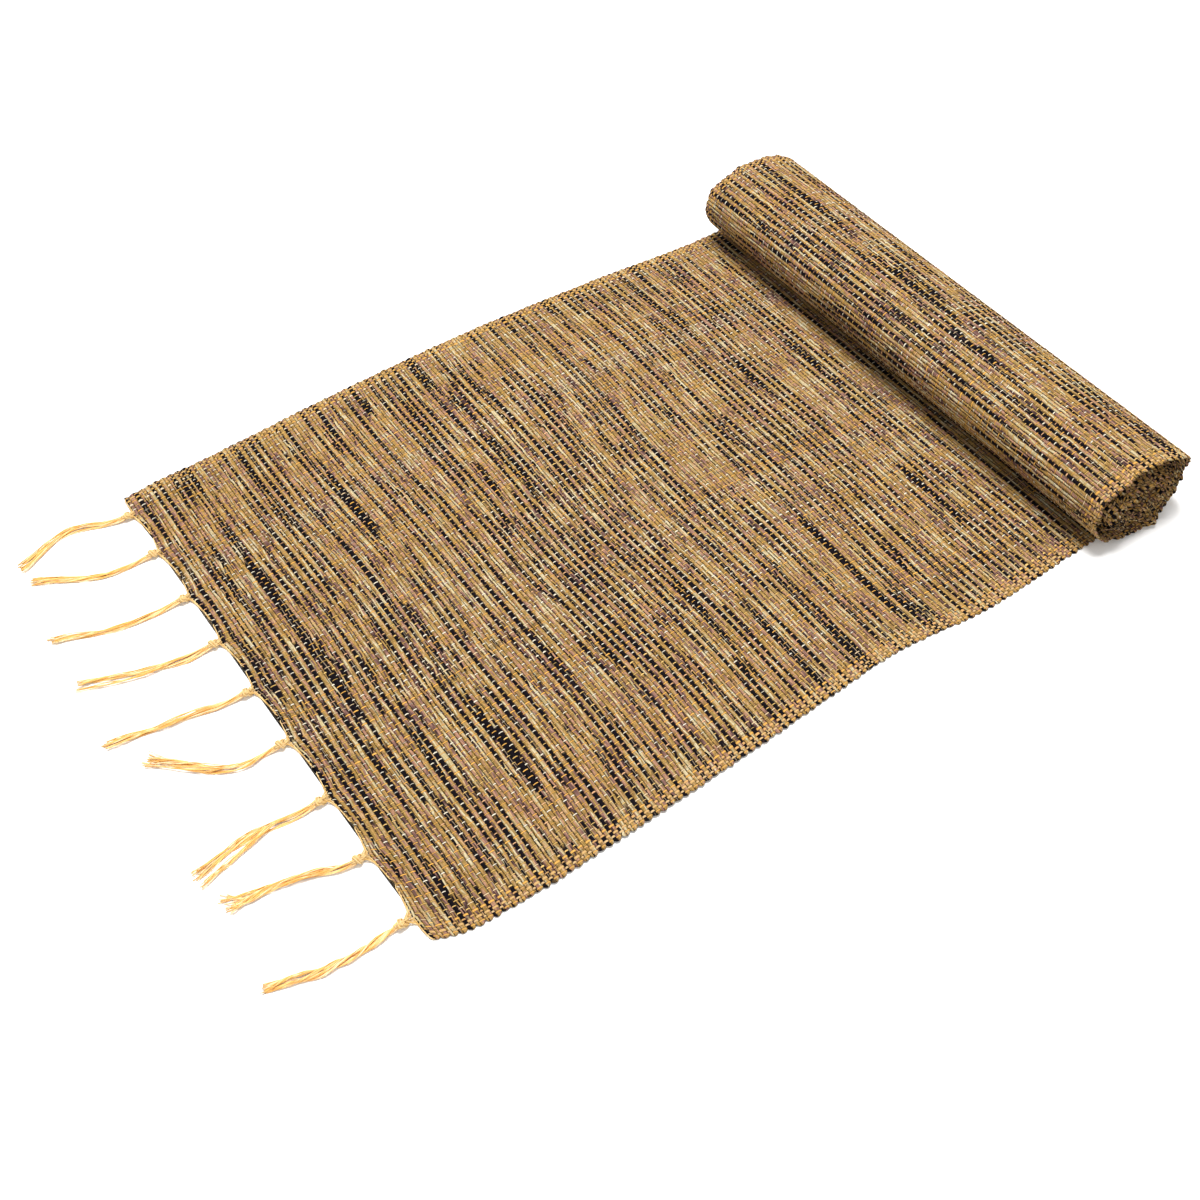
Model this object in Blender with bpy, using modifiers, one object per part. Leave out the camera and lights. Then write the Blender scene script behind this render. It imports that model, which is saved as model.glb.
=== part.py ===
"""A woven table runner, partly rolled up, with a row of knotted tassels at each end.

Metres, +Z up. +X runs from the laid-out fringed end towards the roll, and Y lies across the
cloth. The origin is the middle of the footprint, on the surface that the runner lies on.
"""

import math

import bmesh
import bpy
from mathutils import Matrix, Vector

MM = 0.001

# Cloth
CLOTH_WIDTH = 330 * MM
CLOTH_LENGTH = 1830 * MM
CLOTH_THICKNESS = 1.3 * MM
FLAT_LENGTH = 400 * MM

# Roll: an oval winding, flattened under its own weight
WINDING_GAP = 0.43 * MM
CORE_HALF_HEIGHT = 3.5 * MM
CORE_EXTRA_HALF_WIDTH = 14 * MM
UPPER_FULLNESS = 2.2
LOWER_FULLNESS = 3.4
CORE_FULLNESS = 2.4
ROLL_FRONT_CLEARANCE = 0.6 * MM
STATIONS_PER_TURN = 36

# Fringe: each group of warp ends narrows from the cloth to a knot and hangs on as a tassel
TASSEL_COUNT = 9
GATHER_LENGTH = 1.2 * MM
GATHER_SPACING = 4.2 * MM
GATHER_NECK = 4 * MM
GATHER_THICKNESS = 1.1 * MM
GATHER_RISE = 0.5 * MM
KNOT_LENGTH = 7 * MM
KNOT_WIDTH = 6.4 * MM
KNOT_HEIGHT = 4.8 * MM
TASSEL_RADIUS = 2.3 * MM
INNER_KNOT_LENGTH = 7 * MM
INNER_KNOT_WIDTH = 8 * MM
INNER_TASSEL_LENGTH = 62 * MM
INNER_TASSEL_WIDTH = 7 * MM

# How each tassel lies, from the near long edge to the far one, in millimetres: how far its
# knot sits off the middle of its warps, how far it reaches beyond its knot, how far its tip
# leans and how far it bows, with +Y positive
TASSEL_LAY = [
    (-2, 63, 7, -3),
    (0, 61, 14, 4),
    (1, 65, -5, 3),
    (3, 57, 29, -6),
    (4, 70, 11, 1),
    (4, 65, 16, -1),
    (4, 67, 14, -3),
    (5, 60, 20, -4),
    (2, 63, 0, 9),
]

# Running clearance between neighbouring pieces
CLEARANCE = 0.3 * MM

CLOTH_MIDDLE = CLOTH_THICKNESS / 2
ROLL_PITCH = CLOTH_THICKNESS + WINDING_GAP
ROLLED_LENGTH = CLOTH_LENGTH - FLAT_LENGTH
INNER_FRINGE_LENGTH = GATHER_LENGTH + INNER_KNOT_LENGTH + INNER_TASSEL_LENGTH + 3 * CLEARANCE
TASSEL_SPACING = CLOTH_WIDTH / TASSEL_COUNT
KNOT_REACH = CLEARANCE + GATHER_LENGTH + CLEARANCE + KNOT_LENGTH / 2


def winding_point(turned, half_width, half_height):
    """Point of the winding's middle line, about its own centre, after a turn in radians."""
    angle = turned - math.pi / 2
    shrink = ROLL_PITCH * turned / (2 * math.pi)
    across, up = math.cos(angle), math.sin(angle)
    fullness = LOWER_FULLNESS if up < 0 else UPPER_FULLNESS
    fullness += (CORE_FULLNESS - fullness) * shrink / half_height
    swell = (abs(across) ** fullness + abs(up) ** fullness) ** (-1 / fullness)
    return Vector(((half_width - shrink) * across * swell, (half_height - shrink) * up * swell))


def winding_stations(half_height):
    """The middle line as (x, z) points, from the bend at x = 0 to the winding's core."""
    half_width = half_height + CORE_EXTRA_HALF_WIDTH
    front = half_width - 0.75 * ROLL_PITCH + CLOTH_MIDDLE
    centre = Vector((CLEARANCE + ROLL_FRONT_CLEARANCE + front, CLOTH_MIDDLE + half_height))
    core = 2 * math.pi * (half_height - CORE_HALF_HEIGHT) / ROLL_PITCH
    step = 2 * math.pi / STATIONS_PER_TURN
    turns = [count * step for count in range(math.ceil(core / step))] + [core]
    places = [centre + winding_point(turned, half_width, half_height) for turned in turns]
    return [Vector((0.0, CLOTH_MIDDLE)), *places]


def line_length(stations):
    return sum((b - a).length for a, b in zip(stations, stations[1:]))


def fitted_winding():
    """The winding whose middle line holds all the rolled cloth and its inner fringe."""
    wanted = ROLLED_LENGTH + INNER_FRINGE_LENGTH
    low, high = 2 * CORE_HALF_HEIGHT, ROLLED_LENGTH
    for _ in range(50):
        middle = (low + high) / 2
        if line_length(winding_stations(middle)) < wanted:
            low = middle
        else:
            high = middle
    return winding_stations(high)


WINDING = fitted_winding()
ROLL_BACK = max(station.x for station in WINDING) + CLOTH_MIDDLE
LONGEST_TASSEL = max(reach for shift, reach, lean, bow in TASSEL_LAY) * MM
FRINGE_REACH = KNOT_REACH + LONGEST_TASSEL
FRINGE_EDGE_X = FRINGE_REACH - (FRINGE_REACH + FLAT_LENGTH + ROLL_BACK) / 2
BEND_X = FRINGE_EDGE_X + FLAT_LENGTH


def material(name, colour, roughness):
    made = bpy.data.materials.new(name)
    made.use_nodes = True
    surface = made.node_tree.nodes["Principled BSDF"]
    surface.inputs["Base Color"].default_value = (*colour, 1.0)
    surface.inputs["Roughness"].default_value = roughness
    surface.inputs["Metallic"].default_value = 0.0
    return made


def new_collection(name):
    made = bpy.data.collections.new(name)
    bpy.context.scene.collection.children.link(made)
    return made


def add_object(name, data, finish, parent):
    made = bpy.data.objects.new(name, data)
    made.data.materials.append(finish)
    made.parent = parent
    RUNNER.objects.link(made)
    return made


def add_pivot(name, place, parent=None):
    """An empty on a joint's axis, at a place given in its parent's own frame."""
    made = bpy.data.objects.new(name, None)
    made.empty_display_size = 0.01
    made.location = place
    made.parent = parent
    RUNNER.objects.link(made)
    return made


def ribbon(name, line, spans, thickness, finish, parent):
    """A closed strip of even thickness along (x, z) points, each with its (low, high) y span."""
    work = bmesh.new()
    ends = [work.verts.new((line[0].x, y, line[0].y)) for y in spans[0]]
    edge = work.edges.new(ends)
    for point, span in zip(line[1:], spans[1:]):
        grown = bmesh.ops.extrude_edge_only(work, edges=[edge])["geom"]
        edge = next(item for item in grown if isinstance(item, bmesh.types.BMEdge))
        for vert, y in zip(sorted(edge.verts, key=lambda end: end.co.y), span):
            vert.co = (point.x, y, point.y)
    bmesh.ops.recalc_face_normals(work, faces=work.faces)
    data = bpy.data.meshes.new(name)
    work.to_mesh(data)
    work.free()
    made = add_object(name, data, finish, parent)
    wall = made.modifiers.new("cloth thickness", "SOLIDIFY")
    wall.thickness = thickness
    wall.offset = 0.0
    wall.use_even_offset = True
    return made


def along_winding(start, end):
    """The winding's points between two distances from the bend, ends included."""
    found, walked = [], 0.0
    for a, b in zip(WINDING, WINDING[1:]):
        step = (b - a).length
        if walked <= start < walked + step:
            found.append(a.lerp(b, (start - walked) / step))
        elif start < walked < end:
            found.append(a.copy())
        if walked < end <= walked + step:
            found.append(a.lerp(b, (end - walked) / step))
        walked += step
    return found


def even_spans(line, width):
    return [(-width / 2, width / 2) for _ in line]


def fan_spans(line, shift):
    """Spans of a gather, from the wide cloth edge to the narrow neck beside the knot."""
    wide = (TASSEL_SPACING - GATHER_SPACING) / 2
    neck = GATHER_NECK / 2
    spans = []
    for step in range(len(line)):
        share = step / (len(line) - 1)
        half_width = neck + (wide - neck) * (1 - share) ** 2
        spans.append((shift * share - half_width, shift * share + half_width))
    return spans


def tassel_y(index):
    return -CLOTH_WIDTH / 2 + (index + 0.5) * TASSEL_SPACING


def build_flat_cloth():
    """The woven cloth from its fringed edge to the bend under the roll."""
    work = bmesh.new()
    bmesh.ops.create_cube(work, size=1.0)
    size = Vector((FLAT_LENGTH - CLEARANCE, CLOTH_WIDTH, CLOTH_THICKNESS))
    bmesh.ops.scale(work, vec=size, verts=work.verts)
    data = bpy.data.meshes.new("flat_cloth")
    work.to_mesh(data)
    work.free()
    made = add_object("flat_cloth", data, CLOTH, None)
    made.location = (FRINGE_EDGE_X + (FLAT_LENGTH - CLEARANCE) / 2, 0.0, CLOTH_MIDDLE)


def build_roll():
    """The rolled cloth, turning with everything wound into it about the bend line."""
    pivot = add_pivot("roll_bend", (BEND_X, 0.0, CLOTH_THICKNESS))
    frame = add_pivot("roll_frame", (0.0, 0.0, -CLOTH_THICKNESS), pivot)
    line = along_winding(0.0, ROLLED_LENGTH)
    ribbon("rolled_cloth", line, even_spans(line, CLOTH_WIDTH), CLOTH_THICKNESS, CLOTH, frame)
    for index in range(TASSEL_COUNT):
        build_inner_tassel(index, frame)


def build_inner_tassel(index, frame):
    """One tassel of the far end, pressed flat where it is wound into the core."""
    number = index + 1
    place = (0.0, tassel_y(index), 0.0)
    start = ROLLED_LENGTH + CLEARANCE
    line = along_winding(start, start + GATHER_LENGTH)
    spans = fan_spans(line, 0.0)
    gather = ribbon(f"inner_gather_{number}", line, spans, GATHER_THICKNESS, WARP, frame)
    start += GATHER_LENGTH + CLEARANCE
    line = along_winding(start, start + INNER_KNOT_LENGTH)
    spans = even_spans(line, INNER_KNOT_WIDTH)
    knot = ribbon(f"inner_knot_{number}", line, spans, CLOTH_THICKNESS, KNOT, frame)
    start += INNER_KNOT_LENGTH + CLEARANCE
    line = along_winding(start, start + INNER_TASSEL_LENGTH)
    spans = even_spans(line, INNER_TASSEL_WIDTH)
    tassel = ribbon(f"inner_tassel_{number}", line, spans, CLOTH_THICKNESS, TASSEL, frame)
    for piece in (gather, knot, tassel):
        piece.location = place


def build_outer_tassel(index):
    """One tassel of the laid-out end: its gathered warps, its knot and its loose ends."""
    number = index + 1
    shift, *lay = (value * MM for value in TASSEL_LAY[index])
    lift = add_pivot(f"lift_{number}", (FRINGE_EDGE_X, tassel_y(index), CLOTH_THICKNESS))
    knot_place = (-KNOT_REACH, shift, KNOT_HEIGHT / 2 - CLOTH_THICKNESS)
    swing = add_pivot(f"swing_{number}", knot_place, lift)
    build_gather(number, shift, lift)
    build_knot(number, knot_place, lift)
    build_tassel(number, lay, swing)


def build_gather(number, shift, lift):
    steps = 5
    line = []
    for step in range(steps):
        share = step / (steps - 1)
        x = -CLEARANCE - GATHER_LENGTH * share
        line.append(Vector((x, GATHER_RISE * share - CLOTH_MIDDLE)))
    ribbon(f"warp_gather_{number}", line, fan_spans(line, shift), GATHER_THICKNESS, WARP, lift)


def build_knot(number, place, lift):
    work = bmesh.new()
    bmesh.ops.create_uvsphere(work, u_segments=12, v_segments=8, radius=0.5)
    bmesh.ops.rotate(work, verts=work.verts, matrix=Matrix.Rotation(math.pi / 2, 3, "Y"))
    size = Vector((KNOT_LENGTH, KNOT_WIDTH, KNOT_HEIGHT))
    bmesh.ops.scale(work, vec=size, verts=work.verts)
    data = bpy.data.meshes.new(f"knot_{number}")
    work.to_mesh(data)
    work.free()
    data.shade_smooth()
    made = add_object(f"knot_{number}", data, KNOT, lift)
    made.location = place


def tassel_point(lay, share):
    """A tassel's middle line about its knot's centre: it leaves straight, leans and bows once."""
    reach, lean, bow = lay
    start = KNOT_LENGTH / 2 + CLEARANCE
    x = start + (reach - start) * share
    settle = KNOT_HEIGHT / 2 - TASSEL_RADIUS
    y = lean * share**1.5 + bow * 16 * (share * (1 - share)) ** 2
    return Vector((-x, y, -settle * min(1.0, 4 * share)))


def build_tassel(number, lay, swing):
    line = bpy.data.curves.new(f"tassel_{number}", "CURVE")
    line.dimensions = "3D"
    line.bevel_depth = TASSEL_RADIUS
    line.bevel_resolution = 2
    line.use_fill_caps = True
    count = 13
    spline = line.splines.new("POLY")
    spline.points.add(count - 1)
    for step, point in enumerate(spline.points):
        point.co = (*tassel_point(lay, step / (count - 1)), 1.0)
    add_object(f"tassel_{number}", line, TASSEL, swing)


for old in list(bpy.data.objects):
    bpy.data.objects.remove(old)

RUNNER = new_collection("table_runner")
CLOTH = material("cloth", (0.34, 0.22, 0.10), 0.85)
WARP = material("warp_ends", (0.72, 0.42, 0.10), 0.6)
KNOT = material("knots", (0.55, 0.36, 0.10), 0.6)
TASSEL = material("tassels", (0.85, 0.50, 0.14), 0.5)

build_flat_cloth()
build_roll()
for tassel_index in range(TASSEL_COUNT):
    build_outer_tassel(tassel_index)
bpy.context.view_layer.update()
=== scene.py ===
# %% [markdown]
# # A woven table runner, half rolled up
#
# The runner is one long strip of plain weave: thin golden warp threads run along it, and a thick, soft,
# space-dyed weft crosses it from side to side. The first 400 mm lie flat, the rest is wound into an
# oval roll, and the warp ends of each end are knotted into nine tassels. This lesson builds the cloth
# with its real relief, then the fringe thread by thread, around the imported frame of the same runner.

# %% Load the frame
import math

import bmesh
import bpy
import numpy as np
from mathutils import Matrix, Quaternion, Vector


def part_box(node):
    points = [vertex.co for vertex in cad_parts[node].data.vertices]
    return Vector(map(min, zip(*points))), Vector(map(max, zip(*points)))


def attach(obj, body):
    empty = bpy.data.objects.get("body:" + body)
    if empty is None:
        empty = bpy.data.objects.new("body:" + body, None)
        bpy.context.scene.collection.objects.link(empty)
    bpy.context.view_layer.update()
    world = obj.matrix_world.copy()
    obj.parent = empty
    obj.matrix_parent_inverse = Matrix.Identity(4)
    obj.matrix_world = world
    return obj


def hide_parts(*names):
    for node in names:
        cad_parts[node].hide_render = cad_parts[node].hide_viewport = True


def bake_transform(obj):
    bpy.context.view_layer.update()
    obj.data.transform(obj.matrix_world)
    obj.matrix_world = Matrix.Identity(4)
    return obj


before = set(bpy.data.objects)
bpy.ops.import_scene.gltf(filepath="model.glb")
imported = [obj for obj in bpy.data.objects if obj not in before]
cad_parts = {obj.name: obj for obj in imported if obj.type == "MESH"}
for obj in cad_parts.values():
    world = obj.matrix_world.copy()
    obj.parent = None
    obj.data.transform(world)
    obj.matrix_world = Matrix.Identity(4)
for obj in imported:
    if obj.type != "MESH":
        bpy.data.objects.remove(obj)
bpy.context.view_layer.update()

MM = 0.001
FLAT_LOW, FLAT_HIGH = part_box("flat_cloth")
ROLL_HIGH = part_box("rolled_cloth")[1]

# %% [markdown]
# ## Camera, floor and light
#
# The camera stands in front of the near corner of the fringe and looks down along the runner. A small
# roll of the camera is turned in about its own view axis. The floor is pale and far larger than the
# runner, and three broad area lights give the flat, soft light of a product table.

# %% Camera
CAMERA_PLACE = Vector((-0.3007, -0.4461, 0.5922))
CAMERA_TARGET = Vector((-0.0268, -0.0467, 0.0))
CAMERA_ROLL = math.radians(-0.54)
LENS_MM = 44.1

camera_data = bpy.data.cameras.new("camera")
camera_data.lens = LENS_MM
camera_data.sensor_width = 36.0
camera_data.clip_start = 0.01
camera = bpy.data.objects.new("camera", camera_data)
bpy.context.scene.collection.objects.link(camera)
view_turn = (CAMERA_TARGET - CAMERA_PLACE).to_track_quat("-Z", "Y")
camera.rotation_mode = "QUATERNION"
camera.rotation_quaternion = view_turn @ Quaternion((0, 0, 1), CAMERA_ROLL)
camera.location = CAMERA_PLACE
bpy.context.scene.camera = camera
print("camera", round((CAMERA_TARGET - CAMERA_PLACE).length, 3), "m from its target")

# %% Light
WORLD_LIGHT = 0.62
scene = bpy.context.scene
scene.view_settings.view_transform = "Standard"
world = bpy.data.worlds.new("studio")
world.use_nodes = True
world.node_tree.nodes["Background"].inputs["Color"].default_value = (1.0, 0.99, 0.975, 1.0)
world.node_tree.nodes["Background"].inputs["Strength"].default_value = WORLD_LIGHT
scene.world = world


def softbox(name, place, target, size, watts):
    """A square area light that faces its target."""
    light = bpy.data.lights.new(name, "AREA")
    light.size = size
    light.energy = watts
    lamp = bpy.data.objects.new(name, light)
    lamp.location = place
    lamp.rotation_euler = (Vector(target) - Vector(place)).to_track_quat("-Z", "Y").to_euler()
    scene.collection.objects.link(lamp)
    return lamp


softbox("overhead", (0.22, 0.25, 1.5), (0.05, 0.0, 0.0), 0.7, 40.0)
softbox("front_fill", (-1.1, -0.9, 0.9), (0.0, 0.0, 0.0), 1.0, 4.0)
softbox("side_fill", (0.9, -1.1, 0.8), (0.1, 0.0, 0.0), 0.9, 1.5)
print("lights:", len(bpy.data.lights))

# %% [markdown]
# ## Shader maths as Python
#
# A weave is easier to describe as arithmetic than as a drawn graph, so one small class wraps a socket
# and turns each Python operator into its Math node. Every other node comes from `Finish.add`, which
# takes the node's type, its settings and what goes into its sockets.

# %% Sockets that can be added, multiplied and compared
class Value:
    """A socket of a material's tree that takes part in Python expressions."""

    def __init__(self, finish, socket):
        self.finish = finish
        self.socket = socket

    def calc(self, operation, *others):
        sockets = dict(enumerate((self, *others)))
        return self.finish.add("ShaderNodeMath", {"operation": operation}, sockets)

    def __add__(self, other):
        return self.calc("ADD", other)

    __radd__ = __add__

    def __mul__(self, other):
        return self.calc("MULTIPLY", other)

    __rmul__ = __mul__

    def __sub__(self, other):
        return self.calc("SUBTRACT", other)

    def __rsub__(self, other):
        return self * -1.0 + other

    def __mod__(self, other):
        return self.calc("MODULO", other)

    def floor(self):
        return self.calc("FLOOR")

    def fraction(self):
        return self.calc("FRACT")

    def size(self):
        return self.calc("ABSOLUTE")

    def sine(self):
        return self.calc("SINE")

    def step(self, low, high):
        """0 below low and 1 above high, with a smooth rise; low may be the larger one."""
        settings = {"interpolation_type": "SMOOTHSTEP"}
        sockets = {"Value": self, "From Min": min(low, high), "From Max": max(low, high)}
        rise = self.finish.add("ShaderNodeMapRange", settings, sockets)
        return rise if low < high else 1.0 - rise


class Finish:
    """A material of one Principled shader, and the nodes that feed it."""

    def __init__(self, name, roughness):
        self.material = bpy.data.materials.new(name)
        self.material.use_nodes = True
        self.tree = self.material.node_tree
        self.shader = self.tree.nodes["Principled BSDF"]
        self.shader.inputs["Roughness"].default_value = roughness

    def add(self, kind, settings, sockets, output=0):
        node = self.tree.nodes.new(kind)
        for name, setting in settings.items():
            if name == "stops":
                fill_ramp(node.color_ramp, setting)
            else:
                setattr(node, name, setting)
        for name, value in sockets.items():
            if isinstance(value, Value):
                self.tree.links.new(value.socket, node.inputs[name])
            else:
                node.inputs[name].default_value = value
        return Value(self, node.outputs[output])

    def map_axes(self, uv_name):
        """The two axes of a UV map, as values."""
        place = self.add("ShaderNodeUVMap", {"uv_map": uv_name}, {})
        return [self.add("ShaderNodeSeparateXYZ", {}, {0: place}, axis) for axis in (0, 1)]

    def noise(self, across, along, detail=1.0, roughness=0.5):
        place = self.add("ShaderNodeCombineXYZ", {}, {0: across, 1: along})
        settings = {"noise_dimensions": "2D"}
        sockets = {"Vector": place, "Scale": 1.0, "Detail": detail, "Roughness": roughness}
        return self.add("ShaderNodeTexNoise", settings, sockets)

    def ramp(self, value, stops, interpolation="LINEAR"):
        settings = {"stops": (interpolation, stops)}
        return self.add("ShaderNodeValToRGB", settings, {0: value})

    def mix(self, share, first, second, blend_type="MIX"):
        settings = {"data_type": "RGBA", "blend_type": blend_type}
        return self.add("ShaderNodeMix", settings, {0: share, 6: first, 7: second}, 2)

    def grey(self, value):
        """The same number in red, green and blue."""
        settings = {"mode": "RGB"}
        return self.add("ShaderNodeCombineColor", settings, {0: value, 1: value, 2: value})

    def bump(self, height, distance, strength=1.0):
        sockets = {"Height": height, "Distance": distance, "Strength": strength}
        return self.add("ShaderNodeBump", {}, sockets)

    def feed(self, name, value):
        self.tree.links.new(value.socket, self.shader.inputs[name])


def colour(red, green, blue):
    """A colour of 0 to 255 sRGB steps as the linear light that sockets hold."""
    steps = [channel / 255 for channel in (red, green, blue)]
    light = [c / 12.92 if c <= 0.04045 else ((c + 0.055) / 1.055) ** 2.4 for c in steps]
    return (*light, 1.0)


def fill_ramp(ramp, setting):
    ramp.interpolation, stops = setting
    for place, shade in stops[1:-1]:
        ramp.elements.new(place).color = shade
    for element, (place, shade) in zip((ramp.elements[0], ramp.elements[-1]), (stops[0], stops[-1])):
        element.position = place
        element.color = shade


print("black yarn as linear light:", [round(c, 4) for c in colour(33, 28, 36)])

# %% [markdown]
# ## The weave in numbers
#
# Cloth is counted in threads. Everything on it is placed in cloth space: `u` counts warp threads across
# the strip and `v` counts picks of weft along it, so a whole number of each is a crossing. The visible
# relief and the pattern of the dyed yarn both read the same two counts, which keeps them in step.

# %% Thread counts
WARPS = 152
PICK = 2.2 * MM
CLOTH_LENGTH = 1830 * MM
CLOTH_WIDTH = FLAT_HIGH.y - FLAT_LOW.y
THICKNESS = FLAT_HIGH.z - FLAT_LOW.z
MIDDLE = THICKNESS / 2
PICKS = round(CLOTH_LENGTH / PICK)
print("cloth:", WARPS, "warps of", round(CLOTH_WIDTH / WARPS / MM, 2), "mm and", PICKS, "picks")

# %% [markdown]
# ## The line that the cloth follows
#
# Seen from the side the cloth is one line: straight along the table, under the roll, and then round and
# round inwards. The roll isn't round, because the cloth's own weight flattens it, so each turn is a
# superellipse that is a little squarer below than above. The line is worked out once, with its
# length, and every point of the cloth is put beside it.

# %% The winding
WINDING_GAP = 0.43 * MM
ROLL_PITCH = THICKNESS + WINDING_GAP
CORE_HALF_HEIGHT = 3.5 * MM
UPPER_FULLNESS, LOWER_FULLNESS, CORE_FULLNESS = 2.2, 2.3, 2.4
STEPS_PER_TURN = 240
EYE_SAG = 4.2 * MM
ROLL_EXTRA_HALF_WIDTH = 14 * MM
CORE_EXTRA_TURN = 0.8 * math.pi
RUN_IN = 0.1

roll_half_height = (ROLL_HIGH.z - THICKNESS + ROLL_PITCH / 2) / 2
roll_half_width = roll_half_height + ROLL_EXTRA_HALF_WIDTH
roll_centre_x = ROLL_HIGH.x - MIDDLE - roll_half_width + ROLL_PITCH / 4
core_turn = 2 * math.pi * (roll_half_height - CORE_HALF_HEIGHT) / ROLL_PITCH
core_turn += CORE_EXTRA_TURN


def winding(turned):
    """The middle line of the rolled cloth, x and z, after a turn in radians from the bottom."""
    across, up = np.cos(turned - math.pi / 2), np.sin(turned - math.pi / 2)
    shrink = ROLL_PITCH * turned / (2 * math.pi)
    fullness = np.where(up < 0, LOWER_FULLNESS, UPPER_FULLNESS)
    fullness = fullness + (CORE_FULLNESS - fullness) * np.minimum(shrink / roll_half_height, 1)
    swell = (np.abs(across) ** fullness + np.abs(up) ** fullness) ** (-1 / fullness)
    x = roll_centre_x + (roll_half_width - shrink) * across * swell
    z = MIDDLE + roll_half_height + (roll_half_height - shrink) * up * swell
    return x, z - EYE_SAG * np.clip(up * swell, 0, 1) * shrink / (roll_half_height - CORE_HALF_HEIGHT)


turns = np.linspace(0, core_turn, int(core_turn / (2 * math.pi) * STEPS_PER_TURN))
wound_x, wound_z = winding(turns)
straight_x = np.linspace(FLAT_LOW.x - RUN_IN, roll_centre_x, 400)[:-1]
line_x = np.concatenate([straight_x, wound_x])
line_z = np.concatenate([np.full(len(straight_x), MIDDLE), wound_z])
steps = np.hypot(np.diff(line_x), np.diff(line_z))
line_s = np.concatenate([[0], np.cumsum(steps)]) - RUN_IN
line_turn = np.concatenate([np.zeros(len(straight_x)), turns])
tangent_x, tangent_z = np.gradient(line_x, line_s), np.gradient(line_z, line_s)
print("the winding is", round(core_turn / (2 * math.pi), 1), "turns and", round(line_s[-1], 3), "m long")

# %% [markdown]
# ## Edges that wander
#
# No hand-laid cloth has straight edges. The long edges bow by a few millimetres, the fringed edge is
# drawn out to a soft point at each knot, and the picks sway. Inside the roll the turns shift sideways
# too, lower ones outwards at the near end. Each of these is a smooth offset in cloth space.

# %% Offsets in cloth space
NEAR_EDGE = [(0, 4.2), (5, 1.4), (13, -1.0), (38, -3.5), (100, -3), (140, -1.9), (250, 3.8), (268, 4.6),
             (335, -1.5), (400, 0), (440, 0)]
FAR_EDGE = [(0, -2.5), (12, -0.8), (38, 0), (151, 5.5), (229, 7), (316, 4), (400, -2), (440, -1)]
FRINGE_RECESS = 2.1 * MM
FRINGE_RECESS_FADE = 5.5 * MM
FRINGE_SLANT = -1.5 * MM
KNOT_PLACES = [sum(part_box(f"knot_{k}"), Vector()) / 2 for k in range(1, 10)]
TASSEL_PITCH = CLOTH_WIDTH / len(KNOT_PLACES)


def smooth_through(points, distance):
    """A curve with no corners through (distance, offset) points."""
    at, offset = np.array(points, float).T * MM
    slope = np.gradient(offset, at)
    gap = np.clip(np.searchsorted(at, distance) - 1, 0, len(at) - 2)
    span = at[gap + 1] - at[gap]
    t = np.clip((distance - at[gap]) / span, 0, 1)
    curve = offset[gap] * (1 + 2 * t) * (1 - t) ** 2 + offset[gap + 1] * t * t * (3 - 2 * t)
    return curve + span * (slope[gap] * t * (1 - t) ** 2 - slope[gap + 1] * t * t * (1 - t))


def edge_recess(y):
    """How far the fringed edge draws back at y: least at a knot, where it comes to a soft point."""
    knot_y = np.array([knot.y for knot in KNOT_PLACES])
    place = np.interp(y, knot_y, np.arange(len(knot_y)), left=-0.12, right=len(knot_y) - 0.88)
    arch = np.abs(np.sin(math.pi * place)) ** 0.8
    corner = 2.6 * MM * np.exp(-np.maximum(y - FLAT_LOW.y, 0) / (4 * MM))
    return FRINGE_RECESS * (arch - 0.55) + FRINGE_SLANT * y / FLAT_HIGH.y + corner


def sideways_in_roll(s, turn, y):
    """How far the wound cloth shifts along the roll: outwards at the near end where it lies low."""
    wound = np.clip(turn / (2 * math.pi), 0, 1)
    slant = -2.4 * MM * (1 + np.cos(turn)) * wound
    near = np.clip(0.5 - y / CLOTH_WIDTH, 0, 1)
    inside = np.clip((turn - 6.6) / 2.5, 0, 1) * np.clip((38 - turn) / 6, 0, 1)
    flare = -3.4 * MM * np.exp(-(((turn - 2.3) / 0.7) ** 2)) - near * MM * (3.6 * wound - 5.6 * inside)
    uneven = 0.0
    for amount, frequency in ((1.2, 61), (0.8, 23), (0.9, 157), (0.8, 311), (0.5, 523)):
        uneven = uneven + amount * np.sin(s * frequency + frequency)
    return slant + flare + wound * MM * uneven


def smooth_rows(rows, count, seed, reach):
    """For each row, count random waves: (row, wave) amplitudes and phases for yarn_drift."""
    rng = np.random.default_rng(seed)
    return rng.normal(0, reach, (rows, count)), rng.uniform(0, 2 * math.pi, (rows, count))


DRIFT_WAVES = (14.0, 37.0, 83.0)


def yarn_drift(waves, row, along):
    """The slow sideways wander of one thread, in threads."""
    size, phase = waves
    row = np.clip(row, 0, len(size) - 1)
    total = np.zeros(np.broadcast(row, along).shape)
    for k, frequency in enumerate(DRIFT_WAVES):
        total = total + size[row, k] * np.sin(along * frequency + phase[row, k])
    return total


pick_waves = smooth_rows(PICKS + 1, len(DRIFT_WAVES), 3, 0.075)
warp_waves = smooth_rows(WARPS + 1, len(DRIFT_WAVES), 5, 0.05)
dash_heights = np.random.default_rng(8).normal(0, 0.045, (PICKS + 1, WARPS + 2))
bead_sizes = np.random.default_rng(9).uniform(0.7, 1.5, PICKS // 2 + 1)
print("widest bow of the long edges:", max(offset for at, offset in FAR_EDGE), "mm")


# %% From cloth space to the room
SLIM_PICK = 0.20
CROWD, CROWD_REACH = 0.0125, 0.019
RIPPLE = 0.8 * MM
ROLL_LEAN = 0.3 * MM


def pick_place(v):
    """Length along the cloth at a pick count: every other pick is slimmer than its neighbours."""
    return PICK * (v - SLIM_PICK * (1 - np.abs(v % 2 - 1)))


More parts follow.
